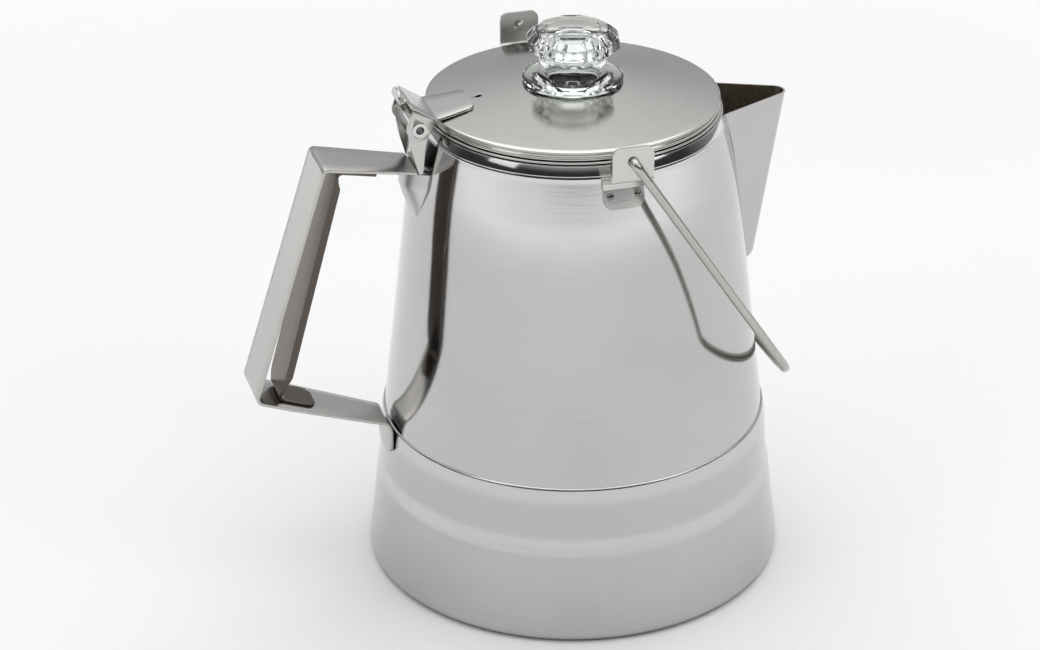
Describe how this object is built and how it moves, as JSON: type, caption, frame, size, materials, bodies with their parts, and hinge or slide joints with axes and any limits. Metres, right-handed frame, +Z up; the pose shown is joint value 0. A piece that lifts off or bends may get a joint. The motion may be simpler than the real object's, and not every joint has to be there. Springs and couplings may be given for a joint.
{
  "type": "coffee percolator",
  "caption": "Stainless camping coffee percolator with a tapered pot, wedge spout, open strap handle, hinged lid with glass knob, swinging wire bail, and a pump stem and basket inside.",
  "frame": {"origin": "centre of the underside of the base, on the pot's vertical axis", "axes": "+Z up along the pot's axis; +X to the spout, -X to the strap handle; the bail's ears stand on the Y axis"},
  "size_m": [0.2463, 0.188, 0.2515],
  "materials": {
    "body_steel": "polished stainless sheet with soft vertical reflections",
    "pan_steel": "polished stainless sheet with two brighter step bands",
    "spout_steel": "polished stainless sheet, dark inside",
    "strap_steel": "satin stainless strap",
    "grip_steel": "satin stainless strip that mirrors its dark surroundings",
    "hinge_steel": "satin stainless sheet",
    "pin_steel": "bright stainless tube",
    "ear_steel": "satin stainless sheet",
    "rivet_steel": "bright rivet heads",
    "lid_steel": "polished stainless sheet",
    "knob_glass": "clear pressed glass, faintly green",
    "wire_steel": "satin stainless wire",
    "pump_metal": "dull inner metal",
    "basket_metal": "dull perforated metal"
  },
  "bodies": {
    "pot": {"body_shell": "body_steel", "base_pan": "pan_steel", "spout": "spout_steel", "handle_strap": "strap_steel", "arm_saddle": "body_steel", "handle_grip": "grip_steel", "hinge_bracket": "hinge_steel", "hinge_pin": "pin_steel", "ear_near": "ear_steel", "ear_far": "ear_steel", "ear_rivets": "rivet_steel"},
    "lid": {"lid_dome": "lid_steel", "lid_skirt": "lid_steel", "lid_leaf": "hinge_steel"},
    "knob": {"knob": "knob_glass"},
    "bail": {"bail": "wire_steel"},
    "pump": {"stem_tube": "pump_metal", "stem_foot": "pump_metal", "stem_collar": "pump_metal"},
    "basket": {"basket": "basket_metal"},
    "cover": {"basket_cover": "basket_metal"}
  },
  "joints": [
    {"name": "lid_hinge", "type": "hinge", "parent": "pot", "child": "lid", "pos_m": [-0.0721, 0, 0.2189], "axis": [0, -1, 0], "range_deg": [0, 110]},
    {"name": "knob_twist", "type": "hinge", "parent": "lid", "child": "knob", "pos_m": [0, 0, 0.2275], "axis": [0, 0, 1], "range_deg": [0, 90]},
    {"name": "bail_swing", "type": "hinge", "parent": "pot", "child": "bail", "pos_m": [0, 0, 0.223], "axis": [0, -1, 0], "range_deg": [0, 170]},
    {"name": "pump_lift", "type": "slide", "parent": "pot", "child": "pump", "axis": [0, 0, 1], "range_m": [0, 0.006]},
    {"name": "basket_lift", "type": "slide", "parent": "pump", "child": "basket", "axis": [0, 0, 1], "range_m": [0, 0.004]},
    {"name": "cover_lift", "type": "slide", "parent": "basket", "child": "cover", "axis": [0, 0, 1], "range_m": [0, 0.003]}
  ]
}
